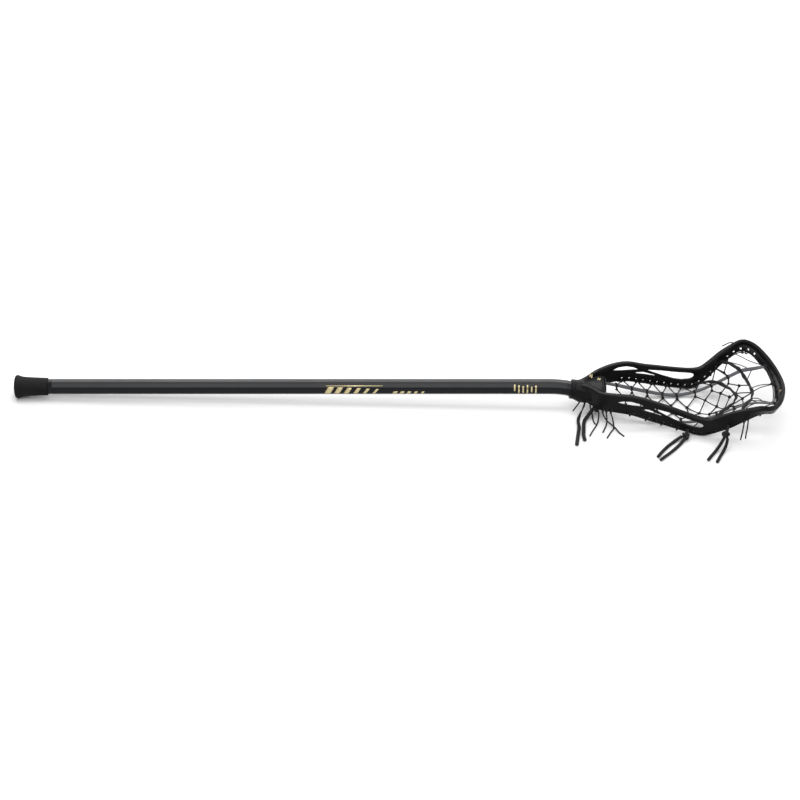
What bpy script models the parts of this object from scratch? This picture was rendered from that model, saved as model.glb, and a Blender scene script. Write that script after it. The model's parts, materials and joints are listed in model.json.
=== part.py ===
"""A complete women's lacrosse stick, lying face up on a flat surface.

The stick is laid out in its own frame: x runs along the shaft from the butt end to
the scoop, y to the left, z to the face side, with z = 0 on the shaft's axis. An empty
then tips that frame so that the butt cap's lip and the two sidewalls touch the
surface, and puts the origin under the middle of the stick.
"""

import math

import bmesh
import bpy
import numpy as np
from mathutils import Matrix, Vector

MM = 0.001
GAP = 0.3 * MM  # running clearance between neighbouring pieces

# Shaft: an octagonal composite tube with a kink just before the head.
FLATS = 20.8 * MM  # across the flats
CORNER = 4.0 * MM  # rounding of the octagon's corners
SHAFT_WALL = 2.0 * MM
CAP_SEAT = 52 * MM  # the shaft is dressed down a little up to here, for the butt cap
SEAT_DEPTH = 0.15 * MM
KINK_START = 755 * MM
KINK_LENGTH = 25 * MM
KINK_ANGLE = math.radians(10)
SHAFT_INSERT = 41 * MM  # length inside the head's socket

# Butt cap: radii of the turned outline, from the closed end to the mouth.
CAP_LENGTH = 46.3 * MM
CAP_FLOOR = 3.6 * MM
CAP_OUTLINE = [(12.0, 0.0), (14.6, 0.4), (16.1, 1.6), (16.5, 3.4), (16.1, 5.4), (15.1, 8.0),
               (14.1, 12.0), (13.4, 22.0), (12.9, 33.0), (12.4, 44.6), (12.0, 46.3)]

# Socket: the tube that the shaft slides into, measured from its mouth.
MOUTH = Vector((785.5, 0, -3.7)) * MM
SOCKET_RADIUS = 13.2 * MM
SOCKET_LENGTH = 46 * MM

# Sidewall stations in mm: outer top corner, outer bottom edge, width of the top rail.
STATIONS = [
    ((790, 5.0, 5.0), (798, 8.0, -17.5), 6.0),
    ((807, 13.4, 9.3), (812, 16.0, -20.5), 6.0),
    ((823, 29.7, 9.6), (823, 29.5, -19.8), 7.0),
    ((846, 41.0, 12.5), (846, 38.3, -18.7), 7.7),
    ((868, 45.5, 13.5), (868, 43.8, -19.2), 7.7),
    ((893, 47.5, 7.8), (893, 48.2, -25.6), 7.7),
    ((917, 52.2, 1.5), (917, 51.2, -32.0), 7.7),
    ((940, 57.5, -5.1), (943, 55.2, -38.9), 7.7),
    ((963, 64.0, -11.2), (965, 59.4, -43.0), 8.2),
    ((976, 67.5, -11.2), (978, 63.3, -38.6), 9.0),
    ((988, 71.0, -3.3), (990, 68.4, -30.0), 9.0),
    ((1005, 77.5, 9.2), (1004, 75.9, -18.0), 8.6),
    ((1022, 82.6, 17.2), (1019, 80.0, -5.2), 8.0),
    ((1042, 86.0, 21.8), (1038, 78.4, 5.0), 7.6),
    ((1056, 80.5, 18.0), (1049, 72.5, 4.6), 7.0),
    ((1071, 60.0, 12.2), (1063, 57.5, -4.2), 6.5),
    ((1082, 34.0, 7.2), (1071, 37.0, -5.8), 6.0),
    ((1088, 0.0, 3.2), (1073.5, 0.0, -5.0), 6.0),
]
STATION_STEPS = 3
RAIL_HEIGHT = 5.2 * MM
WEB = 3.4 * MM
BAND = 4.2 * MM
BAND_HEIGHT = 13 * MM
EDGE = 1.4 * MM  # chamfer along the rail and the band

# Throat sections along the socket's axis: distance, half widths at top and bottom, heights above
# and below the axis, all in mm.
THROAT = [
    (0.0, 14.1, 14.1, 14.1, 14.1),
    (4.6, 14.1, 14.1, 14.1, 14.1),
    (5.4, 13.6, 13.6, 13.7, 14.3),
    (14.0, 15.4, 15.0, 15.6, 17.8),
    (21.0, 18.5, 16.0, 17.3, 17.8),
    (30.0, 24.5, 17.0, 18.6, 16.0),
    (38.0, 29.5, 20.0, 20.0, 14.6),
    (47.0, 33.0, 22.0, 22.0, 13.6),
]
# Hollow between the rails' starts, in mm: x, half width, height of its floor.
DISH = [(802, 2.5, 9.6), (808, 7.5, 7.2), (814, 12.5, 5.3), (820, 17.8, 3.9), (826, 22.3, 2.6),
        (834, 27.0, 0.7)]
DISH_TOP = 14 * MM
FLANK_CENTRE = Vector((846, 25, -21)) * MM
FLANK_RADII = Vector((30, 11, 19)) * MM

# Windows through both sidewalls, as side-view outlines in mm (x, z).
LENS_WINDOW = [(847, 0.5), (856, 4.4), (868, 5.2), (879, 2.2), (887, -2.4), (872, -1.8), (858, -1.0)]
SLIT_WINDOW = [(881, -6.4), (893, -6.6), (912, -14.4), (910, -15.6), (896, -11.4), (883, -8.6)]
LONG_WINDOW = [(898, -3.2), (920, -7.6), (944, -14.0), (962, -18.6), (967, -20.6), (969, -24.0),
               (967, -27.0), (962, -28.2), (950, -27.2), (938, -23.6), (920, -15.4), (900, -5.2)]
HOLE_RADIUS = 1.7 * MM
HOLE_PITCH = 11 * MM
HOLE_HEIGHT = 5 * MM  # above the sidewall's bottom edge
HOLES_FROM = 852 * MM
HOLES_TO = 1056 * MM

# Screw that locks the head to the shaft, on the throat's underside.
SCREW_PLACE = 14 * MM  # from the socket's mouth
SCREW_HEAD_RADIUS = 3.4 * MM
SCREW_HEAD_TOP = -15.6 * MM
SCREW_HEAD_HEIGHT = 2.0 * MM
SCREW_SHANK_RADIUS = 1.7 * MM
SCREW_TIP = -7.0 * MM

# Pocket: heights in mm of the middle line and of the two thongs, against x.
POCKET_THICKNESS = 2.0 * MM
MIDDLE_LINE = [(836, -15), (854, -22), (875, -29.5), (900, -35.5), (923, -39), (942, -40.4),
               (958, -40.2), (975, -36.5), (1000, -26), (1022, -18), (1043, -10.5), (1062, -1)]
THONG_LINE = [(836, 19.5, -8), (854, 25, -15.5), (875, 28, -23), (900, 30, -30.5), (923, 31, -36),
              (942, 32.5, -38.2), (958, 34, -36.6), (975, 34.5, -31), (993, 36, -22.5), (1018, 38, -8),
              (1035, 39.5, -1), (1058, 42, 4)]
THONG_WIDTH = 5.5 * MM
THONG_MARGIN = 3.3 * MM  # from a thong's middle to the mesh beside it
POCKET_EDGE = 5.6 * MM  # from the sidewall to the mesh
LACE_WIDTH = 4.6 * MM
LACE_THICKNESS = 1.8 * MM
LACE_SHORT = 3 * MM  # from the mesh's edge to the lace's end
LACE_LIFT = 3.1 * MM  # middle of a shooting string above the middle of the mesh
STRING_RADIUS = 1.2 * MM
LOWER_LACE = (972, 1022)  # x in mm at the sidewalls and at the middle
UPPER_LACE = (1008, 1044)

# Routes of the free ends, in mm, in the final frame: the surface is z = 0.
THIN = 1.0 * MM
THONG_END = 2.6 * MM
LACE_END = 2.3 * MM
KNOTS = {
    "shooting_knot_lower": (401, -68, 6.2),
    "shooting_knot_upper": (453, -86, 25),
}
KNOT_RADIUS = 5.6 * MM
FREE_ENDS = {
    "thong_tail_left": (THONG_END, [(262, -12, 16), (260, -15, 11), (256, -22, 5.5), (253, -31, 2.8),
                                    (253, -48, 2.7), (250, -69, 2.7), (247, -89, 2.7)]),
    "thong_tail_right": (THONG_END, [(276, -17, 15), (272, -20, 11), (267, -25, 6), (262, -32, 3),
                                     (260, -42, 2.7), (259, -55, 2.7), (258, -66, 2.7), (259, -78, 2.7)]),
    "throat_tail_1": (THIN, [(270, -12, 15), (271, -15, 11), (273, -20, 6), (274, -27, 1.6),
                             (275.5, -35, 1.1), (277, -38, 1.1)]),
    "throat_tail_2": (THIN, [(281, -22, 14), (282, -25, 9), (281, -32, 3), (278, -41, 1.1),
                             (272, -54, 1.1), (267, -66, 1.1)]),
    "throat_tail_3": (THIN, [(286, -24, 15), (289, -29, 9), (293, -34, 4.8), (298, -41, 4),
                             (303, -48, 3.7), (309, -57, 1.4), (315, -65, 1.1)]),
    "throat_tail_4": (THIN, [(291, -27, 16), (293, -29, 8), (293.5, -32, 1.8), (292, -40, 1.1),
                             (286, -57, 1.1)]),
    "throat_tail_5": (THIN, [(297, -29, 17), (300, -31, 10), (302, -34, 3.2), (302.5, -40, 1.1),
                             (302, -47, 1.1), (297, -57, 1.1), (291, -70, 1.1)]),
    "shooting_tail_lower_1": (LACE_END, [(394.4, -70, 6.2), (389, -73, 4), (382, -79, 2.5),
                                         (374, -88, 2.4), (366, -99, 2.4), (358, -112, 2.4)]),
    "shooting_tail_lower_2": (LACE_END, [(397.2, -75, 4.4), (393, -81, 2.9), (387, -89, 2.4),
                                         (379, -99, 2.4), (370, -109, 2.4), (361, -119, 2.4)]),
    "shooting_tail_upper_1": (LACE_END, [(450, -89, 18), (447.6, -90.6, 13), (444, -93, 7), (439, -98, 2.6),
                                         (433, -107, 2.4), (427, -117, 2.4)]),
    "shooting_tail_upper_2": (LACE_END, [(455.4, -89, 18), (455, -90.6, 13), (453, -94, 7), (449, -100, 2.6),
                                         (444, -110, 2.4), (439, -121, 2.4)]),
    "sidewall_tail_1": (THIN, [(475, -88.5, 50), (475, -89.2, 43), (474.6, -89.4, 34), (474.2, -89.2, 24),
                               (473.6, -88.8, 17)]),
    "sidewall_tail_2": (THIN, [(480, -89, 52), (480.4, -89.6, 45), (480.4, -89.8, 36), (480, -89.6, 27),
                               (480.2, -89.2, 20)]),
}

COLOURS = {
    "shaft": ((0.035, 0.037, 0.042), 0.32, 0.3),
    "rubber": ((0.012, 0.012, 0.013), 0.75, 0.0),
    "head": ((0.016, 0.016, 0.017), 0.42, 0.0),
    "screw": ((0.25, 0.25, 0.26), 0.35, 1.0),
    "thong": ((0.055, 0.055, 0.06), 0.8, 0.0),
    "mesh": ((0.010, 0.010, 0.011), 0.85, 0.0),
    "lace": ((0.014, 0.014, 0.015), 0.9, 0.0),
}


def clear_scene():
    for obj in list(bpy.data.objects):
        bpy.data.objects.remove(obj)


def make_collection(name):
    collection = bpy.data.collections.new(name)
    bpy.context.scene.collection.children.link(collection)
    return collection


def make_material(name):
    colour, roughness, metallic = COLOURS[name]
    material = bpy.data.materials.new(name)
    material.use_nodes = True
    shader = material.node_tree.nodes["Principled BSDF"]
    shader.inputs["Base Color"].default_value = (*colour, 1)
    shader.inputs["Roughness"].default_value = roughness
    shader.inputs["Metallic"].default_value = metallic
    return material


class Workshop:
    """Holds the two collections and the empty that carries the stick's frame."""

    def __init__(self):
        self.parts = make_collection("lacrosse_stick")
        self.cutters = make_collection("cutters")
        self.frame = bpy.data.objects.new("stick_frame", None)
        self.parts.objects.link(self.frame)

    def add(self, name, data, colour, in_frame=True):
        """A part made from a mesh or a curve, with its own material."""
        obj = bpy.data.objects.new(name, data)
        self.parts.objects.link(obj)
        material = make_material(colour)
        material.name = name
        data.materials.append(material)
        if in_frame:
            obj.parent = self.frame
        return obj

    def helper(self, name, mesh):
        """A shape that only cuts or joins another one."""
        obj = bpy.data.objects.new(name, mesh)
        self.cutters.objects.link(obj)
        obj.parent = self.frame
        obj.hide_render = True
        obj.display_type = "WIRE"
        return obj


def mesh_from(name, build):
    """A mesh filled in by build(bm), with its faces turned outwards."""
    bm = bmesh.new()
    build(bm)
    bmesh.ops.recalc_face_normals(bm, faces=bm.faces)
    mesh = bpy.data.meshes.new(name)
    bm.to_mesh(mesh)
    bm.free()
    mesh.shade_smooth()
    mesh.set_sharp_from_angle(angle=math.radians(35))
    return mesh


def loft(name, rings, caps=(True, True), closed=True):
    """Skins a row of rings that have the same number of points."""

    def build(bm):
        rows = [[bm.verts.new(point) for point in ring] for ring in rings]
        count = len(rows[0])
        last = count if closed else count - 1
        for one, two in zip(rows, rows[1:]):
            for i in range(last):
                j = (i + 1) % count
                bm.faces.new((one[i], one[j], two[j], two[i]))
        if caps[0]:
            bm.faces.new(rows[0])
        if caps[1]:
            bm.faces.new(rows[-1])

    return mesh_from(name, build)


def smooth_through(points, steps):
    """Centripetal Catmull-Rom points through the given ones, with steps in each stretch."""
    points = [np.array(p, float) for p in points]
    ends = [2 * points[0] - points[1]], [2 * points[-1] - points[-2]]
    return smooth_between(ends[0] + points + ends[1], steps)


def smooth_between(points, steps):
    """The same, where the first and last points only guide the curve's ends."""
    out = []
    for p0, p1, p2, p3 in zip(points, points[1:], points[2:], points[3:]):
        times = [0.0]
        for a, b in ((p0, p1), (p1, p2), (p2, p3)):
            times.append(times[-1] + math.sqrt(np.linalg.norm(b - a)))
        t0, t1, t2, t3 = times
        for t in np.linspace(t1, t2, steps, endpoint=False):
            a1 = ((t1 - t) * p0 + (t - t0) * p1) / (t1 - t0)
            a2 = ((t2 - t) * p1 + (t - t1) * p2) / (t2 - t1)
            a3 = ((t3 - t) * p2 + (t - t2) * p3) / (t3 - t2)
            b1 = ((t2 - t) * a1 + (t - t0) * a2) / (t2 - t0)
            b2 = ((t3 - t) * a2 + (t - t1) * a3) / (t3 - t1)
            out.append(((t2 - t) * b1 + (t - t1) * b2) / (t2 - t1))
    out.append(points[-2])
    return out


def evenly(points, spacing):
    """Points on the same line, spaced evenly along it."""
    points = np.array(points)
    steps = np.linalg.norm(np.diff(points, axis=0), axis=1)
    along = np.concatenate([[0], np.cumsum(steps)])
    count = max(2, round(along[-1] / spacing) + 1)
    wanted = np.linspace(0, along[-1], count)
    return [Vector([np.interp(w, along, points[:, k]) for k in range(3)]) for w in wanted]


def cord_curve(name, points, radius):
    """A round cord on a poly spline."""
    curve = bpy.data.curves.new(name, "CURVE")
    curve.dimensions = "3D"
    curve.bevel_depth = radius
    curve.bevel_resolution = 2
    curve.use_fill_caps = True
    spline = curve.splines.new("POLY")
    spline.points.add(len(points) - 1)
    for place, point in zip(spline.points, points):
        place.co = (*point, 1)
    return curve


def boolean(obj, other, operation):
    modifier = obj.modifiers.new(f"{operation.lower()}_{other.name}", "BOOLEAN")
    modifier.operation = operation
    modifier.object = other


def dish_mesh():
    """A trough that widens towards the pocket, with a rounded floor."""
    rings = []
    for x, half, floor in DISH:
        ring = [Vector((x * MM, half * MM, DISH_TOP)), Vector((x * MM, -half * MM, DISH_TOP))]
        for angle in np.linspace(math.pi, 2 * math.pi, 17):
            across = math.copysign(abs(math.cos(angle)) ** 0.7, math.cos(angle))
            depth = abs(math.sin(angle)) ** 0.7
            level = 0.9 * DISH_TOP
            ring.append(Vector((x * MM, half * MM * across, level - (level - floor * MM) * depth)))
        rings.append(ring)
    return loft("dish", rings)


def ellipsoid(shop, name, centre, radii):
    def build(bm):
        bmesh.ops.create_uvsphere(bm, u_segments=32, v_segments=20, radius=1)
        bmesh.ops.scale(bm, vec=radii, verts=bm.verts)
        bmesh.ops.translate(bm, vec=centre, verts=bm.verts)

    return shop.helper(name, mesh_from(name, build))


def octagon(across, corner, steps=2):
    """Outline of an octagon with rounded corners, as (sideways, up) pairs."""
    inner = across / 2 - corner
    reach = inner / math.cos(math.pi / 8)
    outline = []
    for side in range(8):
        middle = math.pi / 8 + side * math.pi / 4
        for k in range(steps + 1):
            angle = middle + (k / steps - 0.5) * math.pi / 4
            outline.append((reach * math.cos(middle) + corner * math.cos(angle),
                            reach * math.sin(middle) + corner * math.sin(angle)))
    return outline


def socket_axes(angle=KINK_ANGLE):
    """Directions along a line tipped down by angle, and up from it."""
    along = Vector((math.cos(angle), 0, -math.sin(angle)))
    up = Vector((math.sin(angle), 0, math.cos(angle)))
    return along, up


def ring_at(centre, angle, outline):
    _, up = socket_axes(angle)
    return [centre + Vector((0, side, 0)) + up * height for side, height in outline]


def shaft_stations():
    """(centre, slope) along the shaft: straight, the kink's arc, then straight into the socket."""
    stations = [(Vector((x * MM, 0, 0)), 0.0) for x in (52.5, 120, 220, 320, 420, 520, 600, 680, 740)]
    radius = KINK_LENGTH / math.sin(KINK_ANGLE)
    for k in range(6):
        angle = KINK_ANGLE * k / 5
        place = Vector((KINK_START + radius * math.sin(angle), 0, -radius * (1 - math.cos(angle))))
        stations.append((place, angle))
    along, _ = socket_axes()
    for reach in (-2 * MM, 20 * MM, SHAFT_INSERT):
        stations.append((MOUTH + along * reach, KINK_ANGLE))
    return stations


def make_shaft(shop, screw_bore):
    outline = octagon(FLATS, CORNER)
    seat = octagon(FLATS - 2 * SEAT_DEPTH, CORNER)
    rings = [ring_at(Vector((x, 0, 0)), 0, seat) for x in (4 * MM, CAP_SEAT)]
    rings += [ring_at(centre, angle, outline) for centre, angle in shaft_stations()]
    shaft = shop.add("shaft", loft("shaft", rings, caps=(False, False)), "shaft")
    wall = shaft.modifiers.new("wall", "SOLIDIFY")
    wall.thickness = SHAFT_WALL
    wall.offset = -1
    boolean(shaft, screw_bore, "DIFFERENCE")
    return shaft


def profile(name, outline):
    """An open profile of (radius, height) pairs, for a Screw modifier about Z."""

    def build(bm):
        verts = [bm.verts.new((radius, 0, height)) for radius, height in outline]
        for a, b in zip(verts, verts[1:]):
            bm.edges.new((a, b))

    return mesh_from(name, build)


def add_screw(obj, steps):
    spin = obj.modifiers.new("spin", "SCREW")
    spin.steps = steps
    spin.render_steps = steps
    spin.use_merge_vertices = True
    spin.merge_threshold = 0.00001
    spin.use_smooth_shade = True


def make_butt_cap(shop):
    outline = [(0, 0)]
    outline += [(radius * MM, -depth * MM) for radius, depth in CAP_OUTLINE]
    outline.append((0, -CAP_LENGTH))
    cap = shop.add("butt_cap", profile("butt_cap", outline), "rubber")
    cap.rotation_euler = (0, -math.pi / 2, 0)
    add_screw(cap, 40)
    bore = octagon(FLATS + 2 * GAP, CORNER)
    rings = [ring_at(Vector((x, 0, 0)), 0, bore) for x in (CAP_FLOOR, CAP_LENGTH + 5 * MM)]
    boolean(cap, shop.helper("cap_bore", loft("cap_bore", rings)), "DIFFERENCE")
    return cap


def wall_frames():
    """(top, bottom, inward, rail width) at each section of the left sidewall, from throat to scoop tip."""
    rows = [np.array([*top, *bottom, rail]) * MM for top, bottom, rail in STATIONS]
    mirrored = rows[-2] * np.array([1, -1, 1, 1, -1, 1, 1])
    rows = smooth_between([2 * rows[0] - rows[1]] + rows + [mirrored], STATION_STEPS)
    tops = [Vector(row[:3]) for row in rows]
    bottoms = [Vector(row[3:6]) for row in rows]
    middles = [(a + b) / 2 for a, b in zip(tops, bottoms)]
    frames = []
    for i, (top, bottom) in enumerate(zip(tops, bottoms)):
        if i == len(rows) - 1:
            tangent = Vector((0, -1, 0))
        else:
            tangent = middles[i + 1] - middles[max(i - 1, 0)]
        down = (bottom - top).normalized()
        inward = down.cross(tangent).normalized()
        frames.append((top, bottom, inward, rows[i][6]))
    return frames


def wall_section(top, bottom, inward, rail):
    """Outline of the sidewall: a wide rail on top, a thin web and a thicker band at the bottom."""
    down = (bottom - top).normalized()
    height = (bottom - top).length
    band = height - min(BAND_HEIGHT, 0.42 * height)
    rail_height = min(RAIL_HEIGHT, 0.3 * height)
    outline = [
        (EDGE, 0),
        (rail - EDGE, 0),
        (rail, EDGE),
        (rail, rail_height - 0.5 * EDGE),
        (rail - EDGE, rail_height + 0.4 * EDGE),
        (WEB, rail_height + EDGE),
        (WEB, band - EDGE),
        (BAND, band),
        (BAND, height - EDGE),
        (BAND - EDGE, height),
        (EDGE, height),
        (0, height - EDGE),
        (0, EDGE),
    ]
    return [top + inward * a + down * b for a, b in outline]


def wall_line(frames, above_bottom, inside):
    """A line that follows the left sidewall, this far above its bottom edge and inside its outer face."""
    line = []
    for top, bottom, inward, _ in frames:
        up = (top - bottom).normalized()
        line.append(bottom + up * above_bottom + inward * inside)
    return line


def make_sidewalls(shop, frames):
    rings = [wall_section(*frame) for frame in frames]
    walls = shop.helper("sidewalls", loft("sidewalls", rings, caps=(True, False)))
    mirror = walls.modifiers.new("mirror", "MIRROR")
    mirror.use_axis = (False, True, False)
    mirror.merge_threshold = 0.00005
    return walls


def rounded_section(half_top, half_bottom, above, below, steps=6):
    """Closed outline with a top half and a bottom half of different widths."""
    outline = []
    for k in range(4 * steps):
        angle = 2 * math.pi * k / (4 * steps)
        side, rise = math.cos(angle), math.sin(angle)
        share = (1 + rise) / 2
        half = half_bottom + (half_top - half_bottom) * share
        height = above if rise > 0 else below
        outline.append((half * side, height * rise))
    return outline


def throat_mesh():
    along, _ = socket_axes()
    rings = []
    for reach, half_top, half_bottom, above, below in THROAT:
        outline = rounded_section(half_top * MM, half_bottom * MM, above * MM, below * MM)
        rings.append(ring_at(MOUTH + along * reach * MM, KINK_ANGLE, outline))
    return loft("head_frame", rings)


def socket_prism(shop, name, outline, start, end):
    """A prism along the socket's axis."""
    along, _ = socket_axes()
    rings = [ring_at(MOUTH + along * reach, KINK_ANGLE, outline) for reach in (start, end)]
    return shop.helper(name, loft(name, rings))


def flat_prism(shop, name, outline, half_depth):
    """A side-view outline, extruded through both sidewalls."""
    curve = bpy.data.curves.new(name, "CURVE")
    curve.dimensions = "2D"
    curve.fill_mode = "BOTH"
    curve.extrude = half_depth
    spline = curve.splines.new("POLY")
    spline.points.add(len(outline) - 1)
    for place, (x, z) in zip(spline.points, outline):
        place.co = (x * MM, z * MM, 0, 1)
    spline.use_cyclic_u = True
    drawing = bpy.data.objects.new(name + "_drawing", curve)
    bpy.context.scene.collection.objects.link(drawing)
    graph = bpy.context.evaluated_depsgraph_get()
    mesh = bpy.data.meshes.new_from_object(drawing.evaluated_get(graph))
    bpy.data.objects.remove(drawing)
    bm = bmesh.new()
    bm.from_mesh(mesh)
    bmesh.ops.remove_doubles(bm, verts=bm.verts, dist=0.00001)
    bmesh.ops.rotate(bm, matrix=Matrix.Rotation(math.pi / 2, 3, "X"), verts=bm.verts)
    bmesh.ops.recalc_face_normals(bm, faces=bm.faces)
    bm.to_mesh(mesh)
    bm.free()
    return shop.helper(name, mesh)


def make_string_holes(shop, frames):
    """Short pegs through the bottom band of both sidewalls, one each pitch."""
    line = wall_line(frames, HOLE_HEIGHT, BAND / 2)
    inwards = np.array([frame[2] for frame in frames])
    xs = np.array([point.x for point in line])
    places = [p for p in evenly(line, HOLE_PITCH) if HOLES_FROM < p.x < HOLES_TO]

    def build(bm):
        for place in places:
            inward = Vector([np.interp(place.x, xs, inwards[:, k]) for k in range(3)])
            for side in (1, -1):
                flip = Vector((1, side, 1))
                turn = Vector((0, 0, 1)).rotation_difference(inward * flip).to_matrix().to_4x4()
                matrix = Matrix.Translation(place * flip) @ turn
                bmesh.ops.create_cone(bm, cap_ends=True, segments=8, radius1=HOLE_RADIUS,
                                      radius2=HOLE_RADIUS, depth=4 * BAND, matrix=matrix)

    return shop.helper("string_holes", mesh_from("string_holes", build))


def screw_bores(shop):
    """The clearance hole for the screw and the counterbore for its head."""
    along, up = socket_axes()
    centre = MOUTH + along * SCREW_PLACE
    turn = Vector((0, 0, 1)).rotation_difference(up).to_matrix().to_4x4()

    def cylinder(name, radius, low, high):
        def build(bm):
            matrix = Matrix.Translation(centre + up * (low + high) / 2) @ turn
            bmesh.ops.create_cone(bm, cap_ends=True, segments=24, radius1=radius,
                                  radius2=radius, depth=high - low, matrix=matrix)

        return shop.helper(name, mesh_from(name, build))

    hole = cylinder("screw_hole", SCREW_SHANK_RADIUS + GAP, -30 * MM, -5 * MM)
    seat = cylinder("screw_seat", SCREW_HEAD_RADIUS + GAP, -30 * MM, SCREW_HEAD_TOP + GAP)
    return hole, seat


def make_head_frame(shop, frames, walls, hole, seat):
    head = shop.add("head_frame", throat_mesh(), "head")
    for name, side in (("flank_left", 1), ("flank_right", -1)):
        centre = FLANK_CENTRE * Vector((1, side, 1))
        boolean(head, ellipsoid(shop, name, centre, FLANK_RADII), "DIFFERENCE")
    circle = [(SOCKET_RADIUS * math.cos(a), SOCKET_RADIUS * math.sin(a))
              for a in np.linspace(0, 2 * math.pi, 32, endpoint=False)]
    tube = socket_prism(shop, "socket_tube", circle, 3 * MM, SOCKET_LENGTH)
    boolean(head, tube, "UNION")
    boolean(head, walls, "UNION")
    boolean(head, shop.helper("dish", dish_mesh()), "DIFFERENCE")
    bore = octagon(FLATS + 2 * GAP, CORNER)
    boolean(head, socket_prism(shop, "socket_bore", bore, -5 * MM, SHAFT_INSERT + GAP), "DIFFERENCE")
    boolean(head, hole, "DIFFERENCE")
    boolean(head, seat, "DIFFERENCE")
    windows = {"lens_window": LENS_WINDOW, "slit_window": SLIT_WINDOW, "long_window": LONG_WINDOW}
    for name, outline in windows.items():
        boolean(head, flat_prism(shop, name, outline, 90 * MM), "DIFFERENCE")
    boolean(head, make_string_holes(shop, frames), "DIFFERENCE")
    return head


def make_head_screw(shop):
    """A pan head with a slot, on a plain shank, pointing up into the shaft."""
    low = SCREW_HEAD_TOP - SCREW_HEAD_HEIGHT
    outline = [
        (0, SCREW_TIP),
        (SCREW_SHANK_RADIUS - 0.5 * MM, SCREW_TIP),
        (SCREW_SHANK_RADIUS, SCREW_TIP - 0.6 * MM),
        (SCREW_SHANK_RADIUS, SCREW_HEAD_TOP),
        (SCREW_HEAD_RADIUS, SCREW_HEAD_TOP),
        (SCREW_HEAD_RADIUS, low + 0.7 * MM),
        (SCREW_HEAD_RADIUS - 0.8 * MM, low),
        (0, low),
    ]
    along, _ = socket_axes()
    screw = shop.add("head_screw", profile("head_screw", outline), "screw")
    screw.location = MOUTH + along * SCREW_PLACE
    screw.rotation_euler = (0, KINK_ANGLE, 0)
    add_screw(screw, 24)

    def build(bm):
        bmesh.ops.create_cube(bm, size=1)
        bmesh.ops.scale(bm, vec=(9 * MM, 1 * MM, 1.6 * MM), verts=bm.verts)
        bmesh.ops.translate(bm, vec=(0, 0, low), verts=bm.verts)

    slot = shop.helper("screw_slot", mesh_from("screw_slot", build))
    slot.location = screw.location
    slot.rotation_euler = screw.rotation_euler
    boolean(screw, slot, "DIFFERENCE")
    return screw


class Pocket:
    """The surface that the mesh, the thongs and the shooting strings follow."""

    def __init__(self, frames):
        edge = wall_line(frames, HOLE_HEIGHT, BAND + POCKET_EDGE)
        edge = np.array([point for point in edge if point.x < 1056 * MM])
        self.edge = edge[np.argsort(edge[:, 0])]
        self.middle = np.array(smooth_through([(x, z, 0) for x, z in MIDDLE_LINE], 6)) * MM
        self.thong = np.array(smooth_through(THONG_LINE, 6)) * MM

    def edge_at(self, x):
        """(half width, height) where the mesh meets the sidewall."""
        return [float(np.interp(x, self.edge[:, 0], self.edge[:, k])) for k in (1, 2)]

    def thong_at(self, x):
        return [float(np.interp(x, self.thong[:, 0], self.thong[:, k])) for k in (1, 2)]

    def point(self, x, y):
        """The surface's point above (x, y)."""
        low = float(np.interp(x, self.middle[:, 0], self.middle[:, 1]))
        thong_y, thong_z = self.thong_at(x)
        edge_y, edge_z = self.edge_at(x)
        if abs(y) < thong_y:
            z = low + (thong_z - low) * (y / thong_y) ** 2
        else:
            share = min(1.0, (abs(y) - thong_y) / max(edge_y - thong_y, MM))
            z = thong_z + (edge_z - thong_z) * share
        return Vector((x, y, z))

    def normal(self, x, y, reach=4 * MM):
        """The surface's upward direction there."""
        ahead = self.point(x + reach, y) - self.point(x - reach, y)
        aside = self.point(x, y + reach) - self.point(x, y - reach)
        return ahead.cross(aside).normalized()


def surface_mesh(name, pocket, xs, across, columns):
    """A strip of the pocket between the two half widths that across(x) gives."""
    rings = []
    for x in xs:
        start, end = across(x)
        rings.append([pocket.point(x, y) for y in np.linspace(start, end, columns)])
    return loft(name, rings, caps=(False, False), closed=False)


def make_pocket_mesh(shop, pocket):
    def centre(x):
        half = pocket.thong_at(x)[0] - THONG_MARGIN
        return -half, half

    def left(x):
        return pocket.thong_at(x)[0] + THONG_MARGIN, pocket.edge_at(x)[0]

    def right(x):
        near, far = left(x)
        return -far, -near

    strips = {
        "pocket_mesh_centre": (centre, np.linspace(838, 1060, 17) * MM, 7),
        "pocket_mesh_left": (left, np.linspace(868, 1048, 14) * MM, 4),
        "pocket_mesh_right": (right, np.linspace(868, 1048, 14) * MM, 4),
    }
    for name, (across, xs, columns) in strips.items():
        mesh = surface_mesh(name, pocket, xs, across, columns)
        strip = shop.add(name, mesh, "mesh")
        skin = strip.modifiers.new("skin", "SOLIDIFY")
        skin.thickness = POCKET_THICKNESS
        skin.offset = 0


def strap_mesh(name, points, ups, width, thickness):
    """A flat strap along the points, with its broad side facing the ups."""
    rings = []
    for i, (point, up) in enumerate(zip(points, ups)):
        tangent = points[min(i + 1, len(points) - 1)] - points[max(i - 1, 0)]
        side = up.cross(tangent).normalized() * width / 2
        rise = tangent.cross(side).normalized() * thickness / 2
        soft = 0.75
        rings.append([point + side + rise * 0.4, point + side * soft + rise, point - side * soft + rise,
                      point - side + rise * 0.4, point - side - rise * 0.4, point - side * soft - rise,
                      point + side * soft - rise, point + side - rise * 0.4])
    return loft(name, rings)


def make_thongs(shop, pocket):
    for name, side in (("thong_left", 1), ("thong_right", -1)):
        places = [(x, side * pocket.thong_at(x)[0]) for x in np.linspace(838, 1057, 26) * MM]
        points = [pocket.point(x, y) for x, y in places]
        ups = [Vector((0, 0, 1))] * len(points)
        shop.add(name, strap_mesh(name, points, ups, THONG_WIDTH, POCKET_THICKNESS), "thong")


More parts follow.
